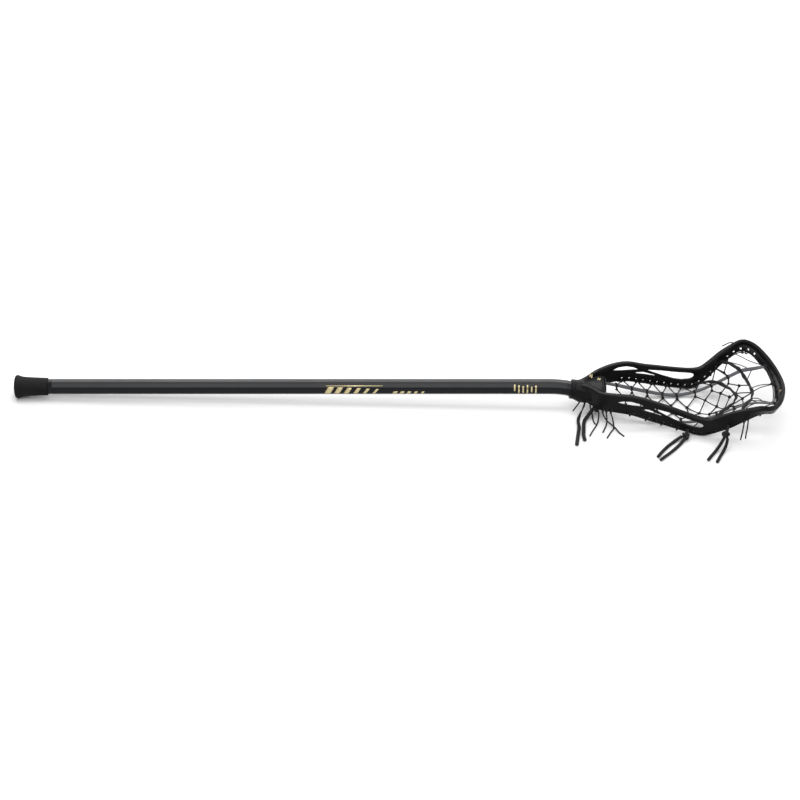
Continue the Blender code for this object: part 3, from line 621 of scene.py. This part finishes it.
def make_shaft():
    """The tube: the outer face, its two end faces and the bore, as one closed skin."""
    stations = shaft_stations()
    outside = [ring_at(c, a, octagon(FLATS + change, CORNER)) for c, a, change in stations]
    inside = [ring_at(c, a, octagon(FLATS - 2 * WALL, CORNER - 1)) for c, a, _ in reversed(stations)]
    piece = Piece()
    rings = outside + inside + [outside[0]]
    piece.skin(rings, along=lengths_along(np.array([r[0] for r in rings])), caps=False)
    obj = add("shaft_tube", weld(piece.mesh("shaft_tube", STICK)), "shaft", nodes=["shaft"])
    return obj


def weld(mesh, distance=0.00001):
    bm = bmesh.new()
    bm.from_mesh(mesh)
    bmesh.ops.remove_doubles(bm, verts=bm.verts, dist=distance)
    bmesh.ops.recalc_face_normals(bm, faces=bm.faces)
    bm.to_mesh(mesh)
    bm.free()
    mesh.shade_smooth()
    mesh.set_sharp_from_angle(angle=math.radians(40))
    return mesh


def make_butt_cap():
    """A turned rubber cap over the shaft's end, with a rounded lip and an octagonal bore."""
    outline = [(r, h) for r, h in CAP_OUTLINE]
    sides = 112
    bore = octagon(CAP_BORE, CORNER, steps=13)
    rings = []
    for radius, height in outline:
        rings.append([(height, radius * math.cos(a), radius * math.sin(a))
                      for a in np.linspace(0, math.tau, sides, endpoint=False) + math.tau / sides / 2])
    order = np.argsort([math.atan2(up, side) % math.tau for side, up in bore])
    bore = [bore[i] for i in order]
    for height in (CAP_LENGTH, CAP_LENGTH - 1, 20, CAP_FLOOR + 1, CAP_FLOOR):
        rings.append([(height, side, up) for side, up in bore])
    rings.append([(CAP_FLOOR, 0, 0)] * sides)
    piece = Piece()
    piece.skin(rings, along=lengths_along(np.array([r[0] for r in rings])), caps=False)
    add("butt_cap_rubber", weld(piece.mesh("butt_cap_rubber", STICK)), "rubber", body="butt_cap",
        nodes=["butt_cap"])


def on_shaft(x, around, lift):
    """The point on the shaft's outline this far round it, in mm from the middle of the top flat."""
    outline = np.array(octagon(FLATS + 2 * lift, CORNER + lift))
    start = int(np.argmin(np.abs(outline[:, 0]) + np.where(outline[:, 1] > 0, 0, 99)))
    outline = np.roll(outline, -start, axis=0)
    outline = np.vstack([outline, outline[:1]])
    along = np.concatenate([[0], np.cumsum(np.linalg.norm(np.diff(outline, axis=0), axis=1))])
    around = (around - outline[0][0]) % along[-1]
    return np.array([x, np.interp(around, along, outline[:, 0]), np.interp(around, along, outline[:, 1])])


def paint_bar(piece, x0, x1, low, high, slant=0.0, steps=10):
    """A thin slanted bar of paint from one place round the shaft to another."""
    rings = []
    for share in np.linspace(0, 1, steps):
        around = low + (high - low) * share
        shift = slant * share
        rings.append([on_shaft(x0 + shift, around, 0.06), on_shaft(x1 + shift, around, 0.06),
                      on_shaft(x1 + shift, around, -0.15), on_shaft(x0 + shift, around, -0.15)])
    piece.skin(rings)


def make_graphics():
    """Plain gold stripes on the shaft; around counts from the top flat towards the near side."""
    piece = Piece()
    for k in range(6):
        start = 437 + 13.5 * k
        paint_bar(piece, start, start + 8.5 - 0.9 * k, 17, 5.5 + 0.6 * k, slant=6)
    paint_bar(piece, 440, 520, 4.4, 3.4)
    for k in range(5):
        paint_bar(piece, 533 + 10 * k, 539 + 10 * k - 0.6 * k, 17.5, 12.5, slant=2.5)
    for k, (near, far) in enumerate(((12, 2), (18, 3), (15, 4), (18.5, 2.5), (14, 5), (18, 3.5))):
        paint_bar(piece, 705 + 6 * k, 707.2 + 6 * k, near, far)
    add("shaft_stripes", piece, "gold")


# ---------------------------------------------------------------- head

def make_head():
    """The moulded frame: the CAD shape with its facets and edges rounded as a mould leaves them."""
    source = frame["nodes"]["head_frame"]
    mesh = source.data.copy()
    mesh.name = "head_moulding"
    weld(mesh)
    obj = bpy.data.objects.new("head_moulding", mesh)
    bpy.context.scene.collection.objects.link(obj)
    remesh = obj.modifiers.new("remesh", "REMESH")
    remesh.mode = "VOXEL"
    remesh.voxel_size = HEAD_VOXEL * MM
    smooth = obj.modifiers.new("smooth", "SMOOTH")
    smooth.factor = 0.5
    smooth.iterations = HEAD_SMOOTHING
    graph = bpy.context.evaluated_depsgraph_get()
    done = bpy.data.meshes.new_from_object(obj.evaluated_get(graph))
    bpy.data.objects.remove(obj)
    place = np.array(STICK)
    coords = np.empty(3 * len(done.vertices))
    done.vertices.foreach_get("co", coords)
    coords = (coords.reshape(-1, 3) - place[:3, 3]) @ place[:3, :3] / MM
    coords = fuller(coords) * MM @ place[:3, :3].T + place[:3, 3]
    done.vertices.foreach_set("co", coords.ravel())
    done.shade_smooth()
    return add("head_moulding", done, "head", nodes=["head_frame"])


def make_head_marks(head):
    """Small plain gold marks, printed on the throat's hollow and on the scoop."""
    tree = BVHTree.FromObject(head, bpy.context.evaluated_depsgraph_get())
    down = (STICK.to_3x3() @ Vector((0, 0, -1))).normalized()
    piece = Piece()
    for x, y, width, height, slant in HEAD_MARKS:
        rings = []
        for row in np.linspace(0, 1, 5):
            edge = []
            for across in (0, 1):
                place = Vector((x + across * width + row * slant, y + row * height, ABOVE_HEAD)) * MM
                hit, normal, _, _ = tree.ray_cast(STICK @ place, down)
                edge.append((hit, normal))
            places = [hit + normal * MARK_PROUD * MM for hit, normal in edge]
            places += [hit - normal * MARK_SUNK * MM for hit, normal in reversed(edge)]
            rings.append([np.array(p) / MM for p in places])
        piece.skin(rings)
    add("head_marks", piece, "gold", matrix=Matrix.Identity(4))


# ---------------------------------------------------------------- pocket

class Pocket:
    """The surface that the net, the thongs and the shooting strings follow."""

    def __init__(self):
        self.middle = smooth_through([(x, z, 0) for x, z in MIDDLE_LINE], 6)
        self.thong = smooth_through(THONG_LINE, 6)
        self.bottom = smooth_through(WALL_BOTTOM, 6)

    def wall_at(self, x, inside=BAND, height=HOLE_HEIGHT):
        """A point on the left sidewall's inner face, this high above its bottom edge."""
        y = float(np.interp(x, self.bottom[:, 0], self.bottom[:, 1]))
        z = float(np.interp(x, self.bottom[:, 0], self.bottom[:, 2]))
        return y - inside, z + height

    def thong_at(self, x):
        return [float(np.interp(x, self.thong[:, 0], self.thong[:, k])) for k in (1, 2)]

    def point(self, x, y):
        low = float(np.interp(x, self.middle[:, 0], self.middle[:, 1]))
        thong_y, thong_z = self.thong_at(x)
        edge_y, edge_z = self.wall_at(x)
        if abs(y) < thong_y:
            z = low + (thong_z - low) * (y / thong_y) ** 2
        else:
            share = min(1.0, (abs(y) - thong_y) / max(edge_y - thong_y, 1.0))
            z = thong_z + (edge_z - thong_z) * share
        return np.array([x, y, z])

    def normal(self, x, y, reach=4):
        ahead = self.point(x + reach, y) - self.point(x - reach, y)
        aside = self.point(x, y + reach) - self.point(x, y - reach)
        return unit(np.cross(ahead, aside))

    def between(self, a, b, spacing=2.0, lift=0.0, sway=0.0):
        """A string on the surface from one (x, y) to another."""
        a, b = np.array(a, float), np.array(b, float)
        count = max(3, round(np.linalg.norm(b - a) / spacing) + 1)
        line = []
        for share in np.linspace(0, 1, count):
            x, y = a + (b - a) * share
            bow = math.sin(math.pi * share) * sway
            line.append(self.point(x, y + bow) + self.normal(x, y + bow) * lift)
        return np.array(line)


def tie(piece, centre, normal, size=KNOT, turn=0.0, radius=STRING):
    """A small tied knot where net strings meet: two turns of string that cross."""
    normal = unit(normal)
    side = unit(np.cross(normal, [math.cos(turn), math.sin(turn), 0.13]))
    other = np.cross(normal, side)
    for first, second, tilt in ((side, other, 0.5), (other, side, -0.5)):
        axis = first * math.cos(tilt) + normal * math.sin(tilt)
        cross = unit(np.cross(axis, second))
        line = [centre + (second * math.cos(t) + cross * math.sin(t)) * size
                for t in np.linspace(0, math.tau, 11)]
        piece.tube(line, radius, sides=6)


def wrap(piece, centre, along, up, half_width, half_height, turns=2, radius=STRING):
    """Turns of string wound round a thong or a lace."""
    along, up = unit(along), unit(up)
    side = unit(np.cross(up, along))
    count = 14 * turns
    line = []
    for k in range(count + 1):
        t = math.tau * k / 14
        shift = (k / count - 0.5) * turns * 1.7 * radius
        line.append(centre + along * shift + side * math.cos(t) * (half_width + radius * 0.6)
                    + up * math.sin(t) * (half_height + radius * 0.6))
    piece.tube(line, radius, sides=6)


def make_net(pocket):
    """Centre net between the thongs, and a strip from each thong to its sidewall."""
    centre = Piece()
    strips = {1: Piece(), -1: Piece()}

    def string(piece, a, b, sway=0.0):
        piece.tube(pocket.between(a, b, sway=sway), STRING, sides=6)

    def knot(piece, place, turn, size=KNOT):
        tie(piece, pocket.point(*place), pocket.normal(*place), size, turn)

    inner = [(x, 0.74 * pocket.thong_at(x)[0]) for x in WRAPS]
    for i, x in enumerate(WRAPS):
        thong_y = pocket.thong_at(x)[0]
        for side in (1, -1):
            place = (x, side * thong_y)
            ahead = pocket.point(x + 3, side * pocket.thong_at(x + 3)[0])
            behind = pocket.point(x - 3, side * pocket.thong_at(x - 3)[0])
            wrap(strips[side], pocket.point(*place), ahead - behind, pocket.normal(*place), 2.8, 1.1)
            string(centre, place, (x, side * inner[i][1]))
            string(centre, (x + 0.9, side * thong_y), (x + 0.4, side * inner[i][1]))
            knot(centre, (x, side * inner[i][1]), 0.4 + i)

    # The even honeycomb of the pocket's deep part.
    for i in range(4):
        x = (WRAPS[i] + WRAPS[i + 1]) / 2
        y = 0.27 * pocket.thong_at(x)[0]
        for side in (1, -1):
            string(centre, (inner[i][0], side * inner[i][1]), (x, side * y), sway=0.4 * side)
            string(centre, (inner[i + 1][0], side * inner[i + 1][1]), (x, side * y), sway=-0.4 * side)
            knot(centre, (x, side * y), i * 0.9)
        string(centre, (x, y), (x, -y), sway=0)

    # The last stretch, where the cells open out towards the shooting strings.
    knots = {
        "a": (954, 5), "b": (969.4, -13), "c": (980.3, 13.4), "d": (993.7, -9.4), "e": (1002, 16.3),
        "f": (1013, 4), "g": (1002, -25), "h": (1011, -20), "i": (1022, 7), "j": (1028, 19), "k": (1029, -9),
        "m": (955, -18), "n": (982, -24),
        "p5": (inner[4][0], inner[4][1]), "p6": (inner[5][0], inner[5][1]), "p7": (inner[6][0], inner[6][1]),
        "p8": (inner[7][0], inner[7][1]),
        "r5": (inner[4][0], -inner[4][1]), "r6": (inner[5][0], -inner[5][1]),
        "r7": (inner[6][0], -inner[6][1]), "r8": (inner[7][0], -inner[7][1]),
        "s1": (1027, -30), "u1": (1040, 16), "u2": (1043.5, 0), "u3": (1040, -16),
    }
    lines = ["p5a", "p6a", "am", "ab", "r5m", "bm", "p6c", "bc", "bn", "cp7", "cd", "dn", "ep7", "de", "ef",
             "dg", "gf", "gn", "nr7", "gh", "fi", "hk", "ep8", "ij", "ik", "jp8", "mr6", "r8h",
             ]
    pairs = []
    for text in lines:
        first = next(name for name in sorted(knots, key=len, reverse=True) if text.startswith(name))
        pairs.append((first, text[len(first):]))
    pairs += [("k", "s1"), ("s1", "r8"), ("j", "u1"), ("i", "u2"), ("k", "u2"), ("s1", "u3")]
    for one, two in pairs:
        string(centre, knots[one], knots[two])
    for k, name in enumerate("abcdefghijkmn"):
        knot(centre, knots[name], k * 0.7, KNOT * 1.15)

    for side, piece in strips.items():
        for i in range(len(WRAPS) - 1):
            one, two = WRAPS[i], WRAPS[i + 1]
            x = one + 0.4 * (two - one)
            wall_y = pocket.wall_at(x)[0]
            foot = (x, side * (wall_y - 2.4))
            string(piece, (one, side * pocket.thong_at(one)[0]), foot)
            string(piece, (two, side * pocket.thong_at(two)[0]), foot)
            knot(piece, foot, i, KNOT)
            end = pocket.point(x, side * (wall_y + 1.2))
            piece.tube(np.linspace(pocket.point(*foot), end, 4), STRING, sides=6)
        x = WRAPS[-1]
        foot = (x - 4, side * 50)
        wall = (x - 15, side * (pocket.wall_at(x - 15)[0] + 1.0))
        string(piece, (x, side * pocket.thong_at(x)[0]), foot)
        string(piece, foot, wall)
        string(piece, foot, (x + 6, side * (pocket.wall_at(x + 6)[0] + 1)))
        knot(piece, foot, 1.0)
    add("net_centre", centre, "mesh", nodes=["pocket_mesh_centre"])
    add("net_left", strips[1], "mesh", nodes=["pocket_mesh_left"])
    add("net_right", strips[-1], "mesh", nodes=["pocket_mesh_right"])


def make_thongs(pocket):
    """Flat woven straps from the throat to the scoop."""
    for name, side in (("thong_left", 1), ("thong_right", -1)):
        xs = np.arange(838, 1065, 1.5)
        line = np.array([pocket.point(x, side * pocket.thong_at(x)[0]) for x in xs])
        roll = 0.10 * np.sin(xs / 13.0)
        ups = np.array([pocket.normal(x, side * pocket.thong_at(x)[0]) for x in xs])
        ups = unit(ups + np.stack([0 * roll, roll, 0 * roll], axis=1))
        pinch = 1 - 0.07 * np.exp(-np.min(np.abs(xs[:, None] - np.array(WRAPS)), axis=1) ** 2 / 6)
        piece = Piece()
        piece.tube(line, 2.75, 0.36, 16, ups=ups, scale=pinch, square=True)
        add(name + "_strap", piece, "thong", nodes=[name])


def make_shooting_strings(pocket):
    """Fuzzy laces woven over and under the net, tied to the sidewalls at both ends."""
    for name, wall_x, middle_x in (("shooting_string_lower", 972, 1022),
                                   ("shooting_string_upper", 1008, 1044)):
        half = pocket.wall_at(wall_x)[0] - 0.5
        line, ups = [], []
        for share in np.linspace(-1, 1, 90):
            x = middle_x - (middle_x - wall_x) * abs(share) ** 1.7
            up = pocket.normal(x, half * share)
            line.append(pocket.point(x, half * share) + up * (1.6 + 0.8 * math.sin(share * 26)))
            ups.append(up)
        line = evenly(np.array(line), 1.3)
        count = len(line)
        tangents = directions(line)
        base = np.array([np.interp(np.linspace(0, 1, count), np.linspace(0, 1, len(ups)), np.array(ups)[:, k])
                         for k in range(3)]).T
        sideways = unit(np.cross(base, tangents))
        base = np.cross(tangents, sideways)
        angle = 0.9 * np.sin(np.arange(count) * 1.3 / 9.0)
        turned = base * np.cos(angle)[:, None] + sideways * np.sin(angle)[:, None]
        piece = Piece()
        scale = 1 + 0.10 * np.sin(np.arange(count) * 1.3 / 2.3)
        piece.tube(line, 2.7, 0.58, 12, ups=turned, scale=scale)
        add(name + "_lace", piece, "lace", nodes=[name])


def make_sidewall_strings(pocket):
    """A string laced along each sidewall's lower edge, with ties round it and stitches on the outside."""
    for name, side in (("sidewall_string_left", 1), ("sidewall_string_right", -1)):
        piece = Piece()
        xs = np.arange(856, 1046, 5.5)
        line = []
        for k, x in enumerate(xs):
            wall_y, wall_z = pocket.wall_at(x, height=1.6)
            line.append((x, side * (wall_y - 1.0 - 0.5 * (k % 2)), wall_z + 0.5 * (k % 2)))
        piece.tube(route(line, 1.6, steps=5), 0.85, sides=6)
        for k, x in enumerate(xs[1::4]):
            wall_y, wall_z = pocket.wall_at(x, height=1.8)
            tie(piece, np.array([x, side * (wall_y - 1.6), wall_z]), (0, -side, 0.3), 1.5, k * 0.8, 0.8)
        for k, x in enumerate(xs[2::4]):
            if ON_FLOOR[0] < x < ON_FLOOR[1]:
                continue
            loop = []
            for inside, height in STITCH:
                wall_y, wall_z = pocket.wall_at(x + 0.5 * height, inside=inside, height=height)
                loop.append((x + 0.5 * height, side * wall_y, wall_z))
            piece.tube(route(loop, 1.2, steps=5), 0.8, sides=6)
        if side == 1:
            piece.tube(route(STIFF_END, 1.2), 0.9, sides=6)
        add(name + "_stitches", piece, "lace", nodes=[name])


def make_scoop_ties(pocket):
    """Thin strings from the scoop to the thongs and to the upper shooting string."""
    piece = Piece()

    def thin(points, radius=0.7):
        piece.tube(route(points, 1.8, steps=6), radius, sides=6)

    def at(x, y, lift=0.0):
        return pocket.point(x, y) + np.array([0, 0, lift])

    posts = {1: np.array([1066.0, 43.5, 3.8]),
             0: np.array([1071.6, 3, 2.8]),
             -1: np.array([1066.4, -42, 3.2])}
    for centre in posts.values():
        tie(piece, centre, (0.5, 0, 1), 2.2, 0.4, 0.85)
        tie(piece, centre + np.array([-2.2, 0.8, -0.4]), (0.5, 0.3, 1), 1.7, 1.5, 0.8)
    arc = [(1066.0, 42, 4.4), (1069.2, 27, 3.4), (1071.2, 12, 3.0), (1071.6, 3, 3.0), (1071.3, -10, 3.0),
           (1069.2, -26, 3.2), (1066.2, -40.5, 3.8)]
    for place in [*posts.values(), *arc[1:3], *arc[4:6]]:
        thin([place, place + np.array([3.2, 0, -1.6]), place + np.array([7.5, 0, -3.5])], 0.9)
    thin(arc, 0.9)
    thin([(x - 1.9, y, z - 0.6) for x, y, z in arc], 0.8)
    for side in (1, -1):
        wall_y, wall_z = pocket.wall_at(1026)
        thin([(1024, side * (wall_y - 1), wall_z), (1040, side * 62, wall_z - 0.5),
              posts[side] + (-1, 0, 0.3)])
        thin([(1012, side * (pocket.wall_at(1012)[0] - 2), pocket.wall_at(1012)[1]), (1028, side * 52, 1.0),
              at(1043, side * 41, 0.6)])
        thin([at(1048, side * 41.5, -0.6), at(1042, side * 30, 0.4), at(1038, side * 23, 0.6)])
    thin([at(1043.0, 8, 1.6), (1056, 5, -0.5), posts[0]])
    thin([at(1042.0, -2, 1.6), (1054, 0, -1.6), posts[0] + (-1.5, 0.5, -1)])
    thin([at(1037.5, -24, 0.8), (1053, -35, 0.6), posts[-1]])
    thin([at(1039.5, -16, 0.8), (1048, -27, -1.4), at(1054, -41.8, -0.6)])
    add("scoop_ties", piece, "lace", nodes=["scoop_string"])


def make_throat_lacing():
    """The string that gathers the throat end of the net."""
    piece = Piece()
    arc = [(836, 20, -21.5), (834.6, 12, -23.4), (834.2, 0, -24.4), (834.6, -12, -23.4), (836, -20, -21.5)]
    line = route(arc, 1.6)
    piece.tube(line, 1.05, sides=8)
    for k in range(3, len(line) - 2, 5):
        wrap(piece, line[k], line[k + 1] - line[k - 1], (0, 0, 1), 1.1, 1.1, turns=1, radius=0.6)
    add("throat_lacing_string", piece, "lace", nodes=["throat_lacing"])


def make_knots():
    """The two large knots of the shooting strings, with the necks that hold them to the sidewall."""
    identity = Matrix.Identity(4)
    necks = {"shooting_knot_lower": ((406.0, -53.0, 10.5), (404.5, -58.5, 9.6), (402.0, -64.0, 8.0)),
             "shooting_knot_upper": ((457.5, -72.0, 31.0), (456.5, -78.0, 30.5), (454.0, -83.0, 28.0))}
    for k, (name, place) in enumerate(KNOTS.items()):
        piece = Piece()
        line = evenly(overhand(place, 1.42, (0.4 + k, 0.5, 0.8 * k)), 0.9)
        piece.tube(line, 2.35, 0.85, 10)
        piece.tube(route(necks[name], 1.2), 2.2, 0.8, 10)
        level = "lower" if "lower" in name else "upper"
        for end in (1, 2):
            start = np.array(LOOSE_ENDS[f"shooting_tail_{level}_{end}"][1][0], float)
            middle = (start + np.array(place)) / 2
            piece.tube(route([place, middle, start], 1.0), 2.2, 0.7, 10)
        add(name + "_tied", piece, "lace", nodes=[name], matrix=identity)


# ---------------------------------------------------------------- stage

def make_stage():
    bm = bmesh.new()
    bmesh.ops.create_grid(bm, x_segments=2, y_segments=2, size=6)
    mesh = bpy.data.meshes.new("floor")
    bm.to_mesh(mesh)
    bm.free()
    floor = bpy.data.objects.new("floor", mesh)
    bpy.context.scene.collection.objects.link(floor)
    material = bpy.data.materials.new("floor")
    material.use_nodes = True
    shader = material.node_tree.nodes["Principled BSDF"]
    shader.inputs["Base Color"].default_value = FLOOR_COLOUR
    shader.inputs["Roughness"].default_value = 0.9
    shader.inputs["Specular IOR Level"].default_value = 0.1
    mesh.materials.append(material)

    world = bpy.data.worlds.new("studio")
    bpy.context.scene.world = world
    world.use_nodes = True
    background = world.node_tree.nodes["Background"]
    background.inputs["Color"].default_value = (1, 1, 1, 1)
    background.inputs["Strength"].default_value = SURROUND
    for name, place, size, watts in SOFTBOXES:
        light = bpy.data.lights.new(name, "AREA")
        light.shape = "RECTANGLE"
        light.size, light.size_y = size
        light.energy = watts
        lamp = bpy.data.objects.new(name, light)
        bpy.context.scene.collection.objects.link(lamp)
        lamp.location = place
        lamp.rotation_euler = Vector(place).to_track_quat("Z", "Y").to_euler()
    bpy.context.scene.view_settings.view_transform = "Standard"


def main():
    make_camera()
    make_loose_ends()
    make_shaft()
    make_graphics()
    make_butt_cap()
    head = make_head()
    make_head_marks(head)
    frame["nodes"]["head_screw"].data.materials.clear()
    frame["nodes"]["head_screw"].data.materials.append(MATERIALS["screw"])
    pocket = Pocket()
    make_net(pocket)
    make_thongs(pocket)
    make_shooting_strings(pocket)
    make_sidewall_strings(pocket)
    make_scoop_ties(pocket)
    make_throat_lacing()
    make_throat_ties(pocket)
    make_knots()
    make_stage()


main()
